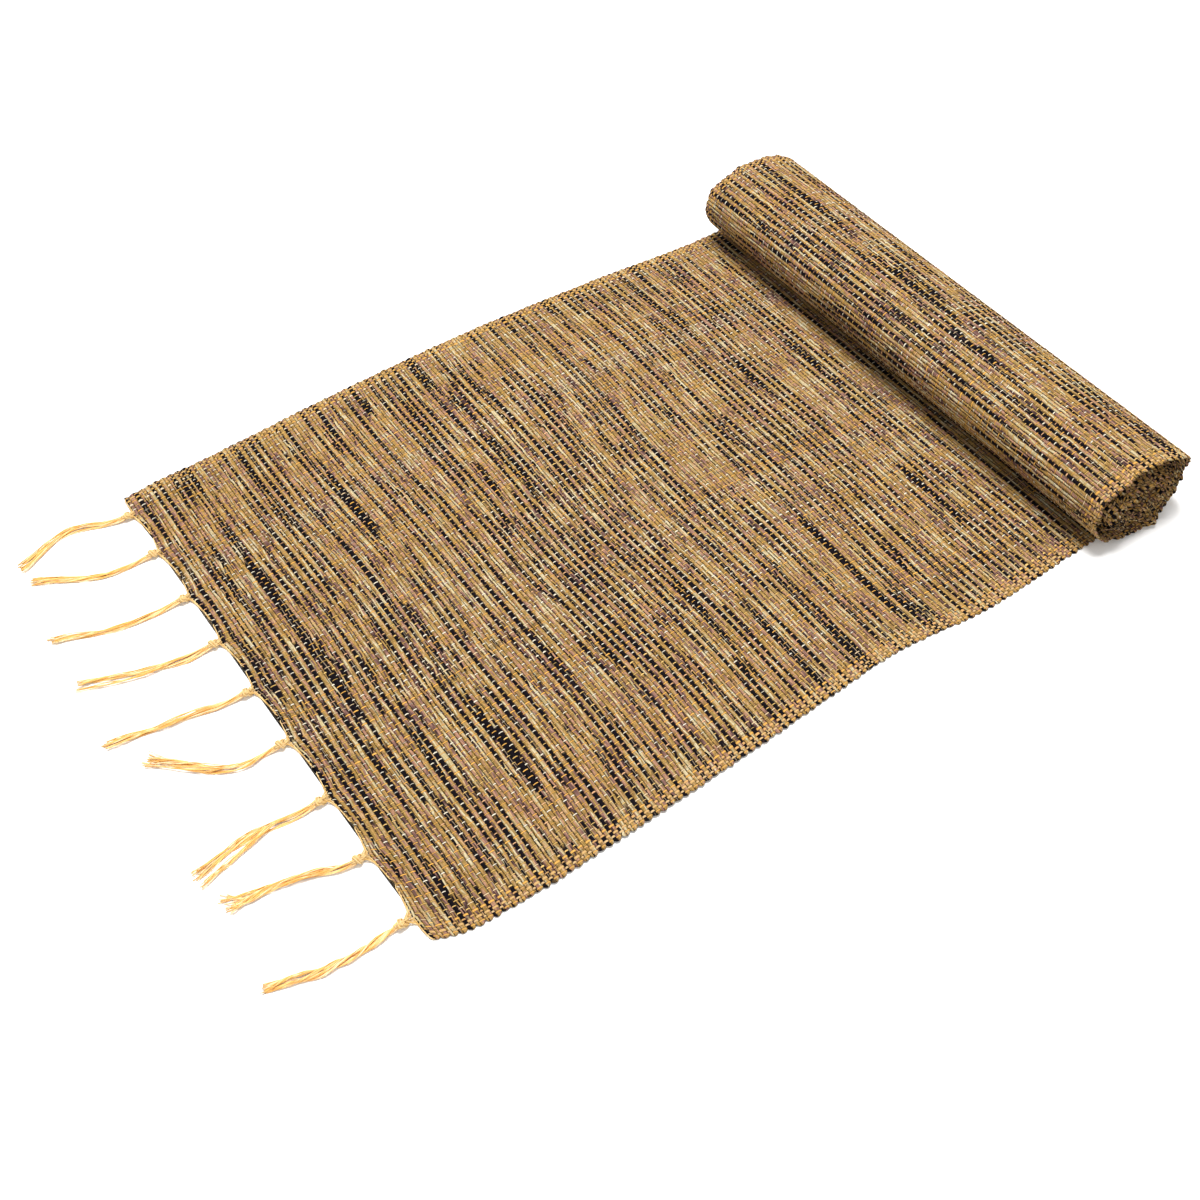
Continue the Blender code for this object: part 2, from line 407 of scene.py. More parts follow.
def selvedge_spacing(share):
    """Warps sit closer at the two selvedges: a share of the warps becomes a share of the width."""
    pull = np.exp(-share / CROWD_REACH) - np.exp(-(1 - share) / CROWD_REACH)
    return (share + CROWD * pull - CROWD) / (1 - 2 * CROWD)


def ripple(s, y):
    """The flat cloth doesn't quite touch the table everywhere."""
    fade = np.clip(s / 0.05, 0, 1) * np.clip((0.30 - s) / 0.06, 0, 1)
    wave = 0.5 + 0.25 * np.sin(s * 27 + y * 14 + 0.6) + 0.25 * np.sin(s * 13 - y * 21 + 2.0)
    return RIPPLE * wave * fade


def beside_line(s, y, rise):
    """Room points at length s along the cloth's line, y across it and rise above its middle."""
    turn = np.interp(s, line_s, line_turn)
    normal_x, normal_z = -np.interp(s, line_s, tangent_z), np.interp(s, line_s, tangent_x)
    lean = ROLL_LEAN * np.sin(turn) * np.clip(turn, 0, 1) * (y / 0.165)
    x = np.interp(s, line_s, line_x) + normal_x * rise + lean
    z = np.interp(s, line_s, line_z) + normal_z * rise
    return x, y, z


def on_cloth(u, v, rise):
    """Room points at warp count u and pick count v, rise metres above the cloth's middle."""
    row = np.floor(v).astype(int)
    part = v - row
    s = pick_place(v)
    near, far = smooth_through(NEAR_EDGE, s), smooth_through(FAR_EDGE, s)
    y = FLAT_LOW.y + near + (CLOTH_WIDTH + far - near) * selvedge_spacing(u / WARPS)
    wander = (1 - part) * yarn_drift(pick_waves, row, y) + part * yarn_drift(pick_waves, row + 1, y)
    held = np.clip(v / 3, 0, 1)
    inside = np.clip(np.minimum(u, WARPS - u) / 4, 0, 1)
    y = y + yarn_drift(warp_waves, np.round(u).astype(int), s) * CLOTH_WIDTH / WARPS * inside
    sway = 1.3 * MM * np.sin(y * 17 + s * 21) + 0.8 * MM * np.sin(y * 39 - s * 12 + 1)
    sway = sway * np.clip(s / 0.04, 0, 1) * np.clip((0.385 - s) / 0.06, 0, 1)
    s = s + wander * PICK * held + sway + edge_recess(y) * np.exp(-s / FRINGE_RECESS_FADE)
    y = y + sideways_in_roll(s, np.interp(s, line_s, line_turn), y)
    return beside_line(s, y, rise + ripple(s, y))


print("the bend lies at x", round(FLAT_HIGH.x / MM, 1), "mm")

# %% [markdown]
# ## Relief of a plain weave
#
# In a plain weave each warp passes over one pick and under the next, and its neighbours do the
# opposite. Here the weft is thick and soft, and the warp thin and tight, so the weft shows as rounded
# dashes two warps long, with a thin thread pinching it between them. The height of the surface is the
# higher of the two yarns at each point.

# %% Height of the surface
WEFT_HALF = 0.52
WEFT_LIFT = 0.12
PINCH_DEPTH = 0.36
WARP_RISE = 0.38
WARP_HALF = 0.20
PINCH_REACH = 0.20
WARP_REACH = 0.14


def relief(u, v, turned_over):
    """Height in metres above the cloth's middle, on either face."""
    warp, pick = np.floor(u), np.floor(v)
    off_warp, off_pick = u - warp - 0.5, v - pick - 0.5
    over = (warp + pick + turned_over) % 2
    pinch = over * np.exp(-((off_warp / PINCH_REACH) ** 2))
    round_weft = np.sqrt(np.clip(1 - (1.96 * off_pick) ** 2, 0, 1))
    slub = dash_heights[np.clip(pick, 0, PICKS).astype(int), np.clip(u / 2, 0, WARPS).astype(int)]
    weft = WEFT_LIFT - PINCH_DEPTH * pinch + (WEFT_HALF + slub) * (1 - 0.15 * pinch) * round_weft
    weft = weft - 0.14 * (np.abs(off_pick) > 0.45)
    thread = np.clip(1 - (off_warp / WARP_REACH) ** 2, 0, 1)
    crossing = (2 * over - 1) * WARP_RISE * np.cos(math.pi * off_pick)
    warp_top = np.where(thread > 0, crossing + WARP_HALF * thread, -1.0)
    return np.maximum(weft, warp_top) * MM


def selvedge_bulge(v, start):
    """The weft turns round the edge warp once every two picks, as a small bead."""
    pair = np.clip((v - start) / 2, 0, PICKS // 2).astype(int)
    return (0.15 + np.abs(np.sin(math.pi * (v - start) / 2)) ** 0.8 * bead_sizes[pair]) * MM


sampled = relief(*np.meshgrid(np.arange(0, 12, 0.05), np.arange(0, 12, 0.05)), 0) / MM
print("relief from", round(float(sampled.min()), 2), "to", round(float(sampled.max()), 2), "mm")

# %% [markdown]
# ## A strip of cloth from one grid
#
# Each strip starts as a flat `create_grid`. Its columns are then led round the cloth's cross-section,
# over the top, round one selvedge, back underneath and round the other, so the sheet has a real
# thickness. The two ends of the grid meet along a seam that `remove_doubles` closes. Long strips would
# pass 200,000 triangles, so the cloth is cut into strips between two picks, where the cut can't be seen.

# %% Columns of the cross-section
WARP_STEPS = (0.0, 0.37, 0.5, 0.63)
SIDE_ANGLES = (50, 0, -50)


def section(top_counts, bottom_counts):
    """The columns round a strip's section: warp count, part of the way up, and part outwards."""
    sides = [(math.sin(math.radians(a)), math.cos(math.radians(a))) for a in SIDE_ANGLES]
    columns = [(0.0, up, -out) for up, out in reversed(sides)]
    columns += [(u, 1.0, 0.0) for u in top_counts]
    columns += [(float(WARPS), up, out) for up, out in sides]
    columns += [(u, -1.0, 0.0) for u in reversed(bottom_counts)]
    return np.array(columns + columns[:1]).T


fine_counts = [warp + part for warp in range(WARPS) for part in WARP_STEPS] + [float(WARPS)]
coarse_counts = [float(u) for u in range(0, WARPS + 1, 2)]
edge_part = [0.0, 0.5, 1.0, 1.5, 2.5, 4.0]
edge_counts = edge_part + [40.0, 76.0, 112.0] + [WARPS - u for u in reversed(edge_part)]
print("columns:", len(fine_counts), "on the shown face,", len(coarse_counts), "on the hidden one")


# %% Grids, meshes and maps
def grid_mesh(columns, rows, copies=1):
    """Meshed grids, with each vertex's column, row and copy numbers."""
    made = bmesh.new()
    for _ in range(copies):
        bmesh.ops.create_grid(made, x_segments=columns - 1, y_segments=rows - 1, size=1.0)
    mesh = bpy.data.meshes.new("grid")
    made.to_mesh(mesh)
    made.free()
    places = np.empty(len(mesh.vertices) * 3, np.float32)
    mesh.vertices.foreach_get("co", places)
    x, y = places.reshape(-1, 3)[:, :2].T
    column = np.rint((x + 1) / 2 * (columns - 1)).astype(int)
    row = np.rint((y + 1) / 2 * (rows - 1)).astype(int)
    return mesh, column, row, np.arange(len(x)) // (columns * rows)


def move_points(mesh, x, y, z):
    places = np.stack(np.broadcast_arrays(x, y, z), axis=1).astype(np.float32)
    mesh.vertices.foreach_set("co", places.ravel())


def add_map(mesh, name, across, along):
    """A UV map from one pair of numbers for each face corner."""
    layer = mesh.uv_layers.new(name=name)
    layer.uv.foreach_set("vector", np.stack([across, along], axis=1).astype(np.float32).ravel())


def corners(mesh):
    """The vertex and the face of each face corner; every face is a quad."""
    vertex = np.empty(len(mesh.loops), np.int32)
    mesh.loops.foreach_get("vertex_index", vertex)
    return vertex, np.repeat(np.arange(len(mesh.polygons)), 4)


def closed_object(name, mesh, finish, merge, fill_sides):
    """Closes the seams and ends of a meshed tube, turns its faces outwards and shows it."""
    made = bmesh.new()
    made.from_mesh(mesh)
    bmesh.ops.remove_doubles(made, verts=made.verts, dist=merge)
    open_edges = [edge for edge in made.edges if edge.is_boundary]
    bmesh.ops.holes_fill(made, edges=open_edges, sides=fill_sides)
    bmesh.ops.triangulate(made, faces=[face for face in made.faces if len(face.verts) > 4])
    bmesh.ops.recalc_face_normals(made, faces=made.faces)
    made.to_mesh(mesh)
    made.free()
    mesh.shade_smooth()
    mesh.name = name
    mesh.materials.append(finish)
    shown = bpy.data.objects.new(name, mesh)
    scene.collection.objects.link(shown)
    return shown


print("a 3 by 2 grid has", len(grid_mesh(3, 2)[1]), "points")

# %% [markdown]
# ## The yarns' colours
#
# The weft is a bundle of a few soft strands, each dyed in long stretches of black, pinkish tan, olive
# gold and cream, so a pick changes colour slowly along its length and often shows two tones side by
# side. Noise with its own row for every pick and strand gives that, because neighbouring rows of the
# noise have nothing to do with each other. The warp is smooth cotton in golds and creams.
# The shade in the weave's hollows, between picks, between strands and beside the crossing warps, is painted
# into the colour as well.

# %% The woven finish
LIGHT_YARNS = [
    (0.28, colour(70, 50, 50)),
    (0.37, colour(138, 102, 92)),
    (0.43, colour(186, 140, 112)),
    (0.47, colour(142, 110, 60)),
    (0.51, colour(190, 150, 88)),
    (0.545, colour(152, 124, 68)),
    (0.585, colour(204, 164, 120)),
    (0.62, colour(176, 154, 106)),
    (0.66, colour(214, 198, 160)),
    (0.74, colour(200, 180, 132)),
]
WARP_YARNS = [
    (0.0, colour(236, 176, 84)),
    (0.30, colour(206, 166, 92)),
    (0.42, colour(226, 198, 156)),
    (0.50, colour(240, 230, 206)),
    (0.72, colour(236, 196, 120)),
    (0.84, colour(230, 178, 132)),
    (0.93, colour(244, 236, 216)),
]
COARSE_SHIFT = 201


def woven_finish():
    finish = Finish("space_dyed_weave", 0.8)
    u, v = finish.map_axes("weave")
    warp, pick = u.floor(), v.floor()
    off_warp, off_pick = (u - warp - 0.5).size(), v - pick
    over = (warp + pick) % 2.0
    wide_pick = pick % 2.0
    from_edge = (u % COARSE_SHIFT - WARPS / 2).size() * -1.0 + WARPS / 2
    # The strands of a pick, what each is dyed, and the seams between them, which get painted shade below.
    strand = off_pick * (wide_pick * 1.7 + 1.6) + finish.noise(u * 0.16, pick * 3.3) * 3.4
    seam = (strand.fraction() - 0.5).size().step(0.40, 0.5)
    strand = strand.floor()
    dye = finish.add("ShaderNodeTexWhiteNoise", {"noise_dimensions": "1D"}, {"W": pick})
    pick_streak = finish.noise(u * 0.017, pick * 5.37, 2.0)
    strand_streak = finish.noise(u * 0.06 + 31.0, pick * 7.31 + strand * 2.57)
    darkness = pick_streak * 0.62 + strand_streak * 0.26 + dye * 0.08 - wide_pick * 0.135
    black = darkness.step(0.452, 0.466)
    tone = finish.noise(u * 0.09 + 57.0, pick * 9.7 + strand * 4.3, 2.0)
    light_yarn = finish.ramp(tone, LIGHT_YARNS)
    black_yarn = finish.mix(tone, colour(4, 4, 7), colour(28, 21, 28))
    weft = finish.mix(black, light_yarn, black_yarn)
    spun_in = finish.noise(u * 0.05 + 11.0, pick * 3.91).step(0.53, 0.58)
    hairline = (off_pick - 0.5 + (u * 0.5).sine() * 0.14).size().step(0.10, 0.04) * spun_in
    weft = finish.mix(hairline * black, weft, colour(158, 138, 112))
    # The warps that lie on top; they close up into a band at each selvedge.
    chance = finish.add("ShaderNodeTexWhiteNoise", {"noise_dimensions": "1D"}, {"W": warp})
    warp_yarn = finish.ramp(chance * 0.5 + warp % 2.0 * 0.5, WARP_YARNS, "CONSTANT")
    band = from_edge.step(7.0, 2.0)
    warp_yarn = finish.mix(band * 0.75, warp_yarn, colour(206, 158, 84))
    cover = band * 0.24 + 0.075
    shows = over * (off_warp - cover).step(0.04, 0.0)
    # Painted shade: a dark gap beside each crossing warp, where the weft dips under it.
    tuck_shade = over * (off_warp - cover).step(0.20, 0.05) * (1.0 - shows)
    yarn = finish.mix(shows, weft, warp_yarn)
    fibre = finish.noise(u * 2.3, v * 11.0, 2.0)
    # Painted shade in the valleys between picks, less where a warp lies over the pick; the bump reads the
    # same valleys.
    shaded_valley = (off_pick - 0.5).size().step(0.28, 0.47) * (1.0 - shows * 0.75)
    light = (fibre * 0.54 + 0.43) * (1.0 - shaded_valley * 0.84)
    # Painted shade beside each crossing warp and in the seams between strands where no warp covers them.
    light = light * (1.0 - tuck_shade * 0.60) * (1.0 - seam * (1.0 - shows) * 0.50)
    finish.feed("Base Color", finish.mix(1.0, yarn, finish.grey(light), "MULTIPLY"))
    finish.feed("Roughness", 0.92 - shows * 0.30 - fibre * 0.18)
    coarse = u.step(COARSE_SHIFT - 20.0, COARSE_SHIFT - 10.0)
    weave = (1.0 - shaded_valley) * (1.0 - over * off_warp.step(0.35, 0.1) * 0.4)
    height = fibre * 0.35 + coarse * weave * 3.0 - seam * (1.0 - shows) * 0.8
    finish.feed("Normal", finish.bump(height, 0.15 * MM))
    finish.shader.inputs["Specular IOR Level"].default_value = 0.06
    return finish.material


weave = woven_finish()
print("the weave takes", len(weave.node_tree.nodes), "nodes")

# %% [markdown]
# ## Laying the cloth
#
# The shown face of the flat half is the top one. In the roll the cloth has turned over, so there the
# other face is on the outside and gets the fine columns. Inner turns show only their edges at the ends
# of the roll, and stay coarse in between.

# %% A strip between two picks
BAKE_GAP = 0.006
HIDDEN_RISE, SIDE_RISE = 0.45 * MM, 0.42 * MM
TABLE_GAP = 0.02 * MM


def bake_bands(u, v, fine, column_u, first, last):
    """Three bands of the bake map: the shown face in two halves, the hidden face in a thinner one."""
    along = (v - first) / (last - first)
    half = WARPS / 2
    second = fine & (column_u > half)
    start = np.where(fine, np.where(second, 0.41, 0.0), 0.82)
    depth = np.where(fine, 0.40, 0.17)
    across = np.where(fine, (u - half * second) / half, u / WARPS)
    return BAKE_GAP + across * (1 - 2 * BAKE_GAP), start + BAKE_GAP + along * (depth - BAKE_GAP)


def cloth_strip(name, first, last, outer_face, counts, rows_per_pick=4):
    """The cloth from pick first to pick last; outer_face is +1 where its top face is the fine one."""
    top, bottom = counts if outer_face > 0 else reversed(counts)
    column_u, column_up, column_out = section(top, bottom)
    rows = (last - first) * rows_per_pick + 1
    mesh, column, row, _ = grid_mesh(len(column_u), rows)
    u, up, out = column_u[column], column_up[column], column_out[column]
    v = first + row / rows_per_pick
    inner_face = up * outer_face < 0
    # A count just inside the strip keeps the last column and row in their own threads.
    rise = up * relief(np.clip(u, 1e-4, WARPS - 1e-4), v, inner_face)
    rise = np.where(inner_face, up * HIDDEN_RISE, rise)
    rise = np.where(np.abs(up) < 1, up * SIDE_RISE, rise)
    x, y, z = on_cloth(u, v, rise)
    bulge = np.where(out < 0, selvedge_bulge(v, 0), selvedge_bulge(v, 1))
    move_points(mesh, x, y + out * bulge, np.maximum(z, TABLE_GAP))
    vertex, face = corners(mesh)
    face_column = np.full(len(mesh.polygons), len(column_u))
    np.minimum.at(face_column, face, column[vertex])
    face_inner = (column_up[face_column] * outer_face < 0)[face]
    corner_u = u[vertex]
    half_u = (column_u[face_column] + column_u[np.minimum(face_column + 1, len(column_u) - 1)]) / 2
    add_map(mesh, "weave", corner_u + COARSE_SHIFT * face_inner, v[vertex])
    add_map(mesh, "OFBake", *bake_bands(corner_u, v[vertex], ~face_inner, half_u[face], first, last))
    return closed_object(name, mesh, weave, 1e-7, 0)


# %% The strips
FLAT_STRIP = 30
BEND_START, BEND_END = 180, 185
ROLL_STRIPS = (185, 200, 230, 260, 292)
fine_face = (fine_counts, coarse_counts)
hold_out = {}
for k in range(BEND_START // FLAT_STRIP):
    name = f"cloth_flat_{k + 1}"
    strip = cloth_strip(name, k * FLAT_STRIP, (k + 1) * FLAT_STRIP, 1, fine_face)
    hold_out[strip] = ("flat_cloth", FLAT_STRIP, "laid")
bend = cloth_strip("cloth_bend", BEND_START, BEND_END, 1, fine_face)
for k, (first, last) in enumerate(zip(ROLL_STRIPS, ROLL_STRIPS[1:])):
    strip = cloth_strip(f"cloth_roll_{k + 1}", first, last, -1, fine_face)
    hold_out[strip] = ("roll", last - first, "folded")
inner = cloth_strip("cloth_inner_turns", ROLL_STRIPS[-1], PICKS, -1, (edge_counts, edge_counts), 3)
hold_out[inner] = ("roll", PICKS - ROLL_STRIPS[-1], "folded")
for strip, (body, picks, held) in hold_out.items():
    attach(strip, body)
    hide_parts("flat_cloth" if body == "flat_cloth" else "rolled_cloth")
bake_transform(bend)
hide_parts("flat_cloth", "rolled_cloth")
print("strips:", {strip.name: len(strip.data.polygons) for strip in [*hold_out, bend]})

# %% [markdown]
# ## Threads
#
# Every loose thread, knotted or hanging, is a thin tube along its own line. All the threads of a piece
# come from one mesh of grids, one grid for each thread, wrapped round its line without twisting.

# %% Tubes along lines
def unit(vectors):
    return vectors / np.maximum(np.linalg.norm(vectors, axis=-1, keepdims=True), 1e-12)


def thread_object(name, lines, radii, sides, finish):
    """Tubes along lines, an array of thread by point by xyz, with a radius for each point."""
    threads, points = lines.shape[:2]
    tangent = unit(np.gradient(lines, axis=1))
    normal = np.empty_like(lines)
    start = np.tile([0.13, 0.31, 1.0], (threads, 1))
    for k in range(points):
        start = unit(start - (start * tangent[:, k]).sum(axis=1, keepdims=True) * tangent[:, k])
        normal[:, k] = start
    side = np.cross(tangent, normal)
    mesh, column, row, thread = grid_mesh(sides + 1, points, threads)
    angle = 2 * math.pi * (column % sides) / sides
    reach = radii[thread, row][:, None]
    ring = np.cos(angle)[:, None] * normal[thread, row] + np.sin(angle)[:, None] * side[thread, row]
    place = lines[thread, row] + reach * ring
    move_points(mesh, place[:, 0], place[:, 1], np.maximum(place[:, 2], 0.05 * MM))
    vertex, _ = corners(mesh)
    around, along = column[vertex] / sides, row[vertex] / (points - 1)
    add_map(mesh, "thread", around, thread[vertex] + 0.01 + 0.98 * along)
    add_map(mesh, "OFBake", (thread[vertex] + 0.08 + 0.84 * around) / threads, 0.01 + 0.98 * along)
    return closed_object(name, mesh, finish, 1e-7, sides)


# %% The threads' finish
GOLD_THREADS = [
    (0.0, colour(236, 176, 76)),
    (0.25, colour(246, 204, 122)),
    (0.45, colour(222, 158, 60)),
    (0.62, colour(250, 226, 180)),
    (0.78, colour(232, 164, 84)),
    (1.0, colour(214, 168, 84)),
]
OLIVE_THREADS = [
    (0.0, colour(226, 176, 88)),
    (0.35, colour(200, 160, 88)),
    (0.6, colour(228, 196, 138)),
    (0.8, colour(186, 144, 76)),
    (1.0, colour(236, 206, 150)),
]


def thread_finish(name, stops, roughness):
    """Twisted, slightly glossy cotton: two plies round each thread, painted shade between them, and a tone
    for each thread.
    """
    finish = Finish(name, roughness)
    around, count = finish.map_axes("thread")
    thread, along = count.floor(), count.fraction()
    pick_up = finish.add("ShaderNodeTexWhiteNoise", {"noise_dimensions": "1D"}, {"W": thread})
    drift = finish.noise(thread * 3.7, along * 5.0, 2.0)
    shade = finish.ramp(pick_up * 0.75 + drift * 0.8 - 0.22, stops)
    ply = ((around * 2.0 + along * 46.0).fraction() - 0.5).size().step(0.5, 0.3)
    fibre = finish.noise(around * 5.0 + thread * 2.3, along * 90.0, 2.0)
    # The colour darkens between the plies: painted shade in the grooves of the twist.
    light = (fibre * 0.30 + 0.84) * (ply * 0.20 + 0.80)
    finish.feed("Base Color", finish.mix(1.0, shade, finish.grey(light), "MULTIPLY"))
    finish.feed("Roughness", roughness + 0.15 - fibre * 0.2)
    finish.feed("Normal", finish.bump(ply * 0.6 + fibre * 0.4, 0.06 * MM))
    finish.shader.inputs["Sheen Weight"].default_value = 0.15
    finish.shader.inputs["Specular IOR Level"].default_value = 0.35
    return finish.material


tassel_gold = thread_finish("golden_tassel_cotton", GOLD_THREADS, 0.5)
knot_gold = thread_finish("olive_gold_knot_cotton", OLIVE_THREADS, 0.55)
warp_gold = thread_finish("warp_end_cotton", OLIVE_THREADS, 0.55)
print("threads in", len(GOLD_THREADS), "and", len(OLIVE_THREADS), "shades")

# %% [markdown]
# ## How each tassel lies
#
# The warp ends of a group are drawn together along the scalloped edge, tied in one overhand knot and
# cut to much the same length. What gives a hand-knotted fringe its life is that no two tassels fall
# alike: one splits at the tip, another is still twisted, a third has spread out. Each gets a few plain
# words of its own, as numbers.

# %% The lay of the tassels
# From the near edge to the far one, in millimetres: reach beyond the knot, lean of the tip, bow of the
# middle; then turns of twist, the side steps of its bunches, where along it they part, how loosely it
# lies, and how much its tip frays.
TASSELS = [
    (63, 7, -3, 1.6, (0.0,), 0.5, 1.0, 0.4),
    (61, 14, 4, 0.5, (-2.4, 2.2), 0.55, 1.3, 1.2),
    (65, -5, 3, 0.4, (-3.2, 0.8, 3.4), 0.35, 1.5, 0.5),
    (57, 29, -6, 0.8, (0.0,), 0.5, 1.0, 0.9),
    (70, 11, 1, 0.3, (-1.1, 1.4), 0.45, 1.0, 0.2),
    (65, 16, -1, 0.4, (0.0,), 0.5, 0.9, 0.15),
    (67, 14, -3, 0.3, (-1.8, 2.2), 0.6, 0.8, 0.2),
    (60, 20, -4, 0.5, (0.0,), 0.5, 0.9, 0.4),
    (63, 0, 9, 0.3, (-2.6, 2.4), 0.2, 1.0, 0.4),
]
TASSEL_THREADS = 25
TASSEL_POINTS = 34
STRANDS = 5
THREAD_RADIUS = 0.25 * MM
rng = np.random.default_rng(21)


def bundle(count, radius):
    """Threads packed in a round bundle: their places across and up, with a sunflower's even spread."""
    number = np.arange(count)
    angle = number * 2.39996
    reach = radius * np.sqrt((number + 0.5) / count)
    return reach, angle


def tassel_lines(lay, points):
    """Lines of one tassel beyond its knot's centre: thread by point by (out, across, up)."""
    reach, lean, bow, twist, bunches, part, loose, fray = lay
    share = np.linspace(0, 1, points)[None, :]
    strand = np.arange(TASSEL_THREADS) % STRANDS
    size = 1 + rng.normal(0, 0.016, (STRANDS, 1))[strand] + rng.normal(0, 0.012, (TASSEL_THREADS, 1))
    size = size - 0.05 * rng.random((TASSEL_THREADS, 1)) * fray
    away, angle = bundle(STRANDS, 0.95 * MM)
    turned = angle[strand][:, None] + 2 * math.pi * twist * share
    own_away, own_angle = bundle(TASSEL_THREADS // STRANDS, 0.5 * MM)
    own_away, own_angle = np.repeat(own_away, STRANDS)[:, None], np.repeat(own_angle, STRANDS)[:, None]
    own_turned = own_angle + 2 * math.pi * (twist + 1.5) * share
    wide = away[strand][:, None] * (1 + 0.9 * loose * np.clip(share * 4, 0, 1))
    slack = own_away * (1 + 0.5 * loose * share)
    bunch = np.array(bunches)[np.arange(STRANDS) % len(bunches)][strand][:, None] * MM
    parted = np.clip((share - part) / (1 - part), 0, 1) ** 0.8
    across = wide * np.cos(turned) + slack * np.cos(own_turned) + bunch * parted
    for waves, amount in ((3.2, 0.65), (6.7, 0.45), (12.5, 0.28)):
        shared = rng.normal(0, amount * MM * loose, (STRANDS, 1))[strand]
        phase = rng.uniform(0, 6.28, (STRANDS, 1))[strand]
        own = rng.normal(0, 0.3 * amount * MM * loose, (TASSEL_THREADS, 1))
        swing = shared * np.sin(waves * share + phase) + own * np.sin(waves * 1.6 * share + phase)
        across = across + swing * np.clip(share * 5, 0, 1)
    flare = np.clip((share - 0.84) / 0.16, 0, 1) ** 1.5
    across = across + rng.normal(0, 1.5 * MM, (TASSEL_THREADS, 1)) * fray * flare
    middle = lean * share**1.5 + bow * 16 * (share * (1 - share)) ** 2
    up = wide * np.sin(turned) * (1 - 0.3 * share * loose) + slack * np.sin(own_turned)
    out = 1.6 * MM + (reach * MM - 1.6 * MM) * share * size
    return out, across + middle * MM, up


def lay_on_table(up, share, knot_height):
    """The bundle sinks from the knot's middle until its lowest threads lie on the table."""
    low = THREAD_RADIUS + 0.1 * MM
    sink = np.clip(share * 5, 0, 1) ** 0.7
    settled = low + np.maximum(up + 1.45 * MM, 0) * 0.62
    return knot_height * (1 - sink) + up * (1 - sink) + settled * sink


# %% [markdown]
# ## The overhand knot
#
# A loose overhand knot has a well-known formula, a curve in powers of one number. Squeezed to the real
# knot's size and drawn with a dozen threads side by side, it shows the crossing wraps of a tied bundle
# from every side.

# %% Knots
KNOT_THREADS = 12
KNOT_POINTS = 54
KNOT_SPAN = 2.12
KNOT_BALL = 2.7 * MM
KNOT_SCALE = Vector((0.168, 0.92, 0.80)) * MM


def knot_lines(flatness):
    """Lines of the knotted bundle about the knot's own centre: thread by point by (out, across, up)."""
    t = np.linspace(-KNOT_SPAN, KNOT_SPAN, KNOT_POINTS)
    tail = np.clip((KNOT_SPAN - np.abs(t)) / 0.42, 0, 1)
    tail = tail * tail * (3 - 2 * tail)
    core = [t**5 - 10 * t, (t**4 - 4 * t**2 + 1.7) * tail, (t**3 - 3 * t) * tail]
    core = np.stack(core, axis=1) * np.array(KNOT_SCALE)
    tangent = unit(np.gradient(core, axis=0))
    normal = np.empty_like(core)
    start = np.array([0.2, 0.3, 1.0])
    for k in range(KNOT_POINTS):
        start = unit(start - (start @ tangent[k]) * tangent[k])
        normal[k] = start
    side = np.cross(tangent, normal)
    away, angle = bundle(KNOT_THREADS, 1.1 * MM)
    turned = angle[:, None] + 0.35 * t[None, :]
    across = (away[:, None] * np.cos(turned))[..., None] * normal
    lines = core[None] + across + (away[:, None] * np.sin(turned))[..., None] * side
    lines = lines * np.array([1.0, 1.0, flatness])
    # Drawing the wraps in towards a ball is what pulling the knot tight does to them.
    depth = np.linalg.norm(lines * np.array([0.7, 1.0, 1.0]), axis=-1, keepdims=True) / KNOT_BALL
    drawn_in = (1 + depth**6) ** (-1 / 6)
    return lines * np.concatenate([np.ones_like(drawn_in), drawn_in, drawn_in], axis=-1)


# %% [markdown]
# ## The fringe, piece by piece
#
# Each group is three pieces, as on the frame: the warp ends that run in along the cloth's edge, the
# knot and the tassel. At the laid-out end they bend and swing on their joints. At the wound-up end the
# same three pieces lie pressed flat in the middle of the roll, along the winding's own line.

# %% The laid-out fringe
GATHER_THREADS = 17
GATHER_POINTS = 22
KNOT_HEIGHT = KNOT_PLACES[0].z


def fringe_edge(y):
    """Where the woven edge lies at y."""
    return FLAT_LOW.x + edge_recess(y)


def gather_lines(number, points):
    """The warp ends of one group: out of the cloth, along its edge and into the knot."""
    first = FLAT_LOW.y + number * TASSEL_PITCH
    leaving = first + (np.arange(GATHER_THREADS) + 0.5) / GATHER_THREADS * TASSEL_PITCH
    leaving = np.clip(leaving, FLAT_LOW.y + 2.2 * MM, FLAT_HIGH.y - 2.6 * MM)[:, None]
    knot = KNOT_PLACES[number]
    share = np.linspace(0, 1, points)[None, :]
    far = np.abs(leaving - knot.y) / TASSEL_PITCH * 2
    along = np.clip((share - 0.06 - 0.1 * (1 - far)) / 0.9, 0, 1)
    y = leaving + (knot.y - leaving) * along
    outside = -1.0 + 1.35 * np.clip(share / 0.14, 0, 1) + 0.75 * far * share
    x = fringe_edge(y) - outside * MM
    away, angle = bundle(GATHER_THREADS, 1.05 * MM)
    entry = np.clip((share - 0.72) / 0.28, 0, 1)
    entry = entry * entry * (3 - 2 * entry)
    x = x * (1 - entry) + (knot.x + 1.9 * MM) * entry
    y = y + (away * np.cos(angle))[:, None] * entry
    lift = 0.35 * MM * np.sin(share * 9 + far * 7) * (1 - entry) * np.clip(share * 6, 0, 1)
    z = MIDDLE + lift + (KNOT_HEIGHT - MIDDLE + (away * np.sin(angle))[:, None]) * entry
    return np.stack(np.broadcast_arrays(x, y, z), axis=-1)


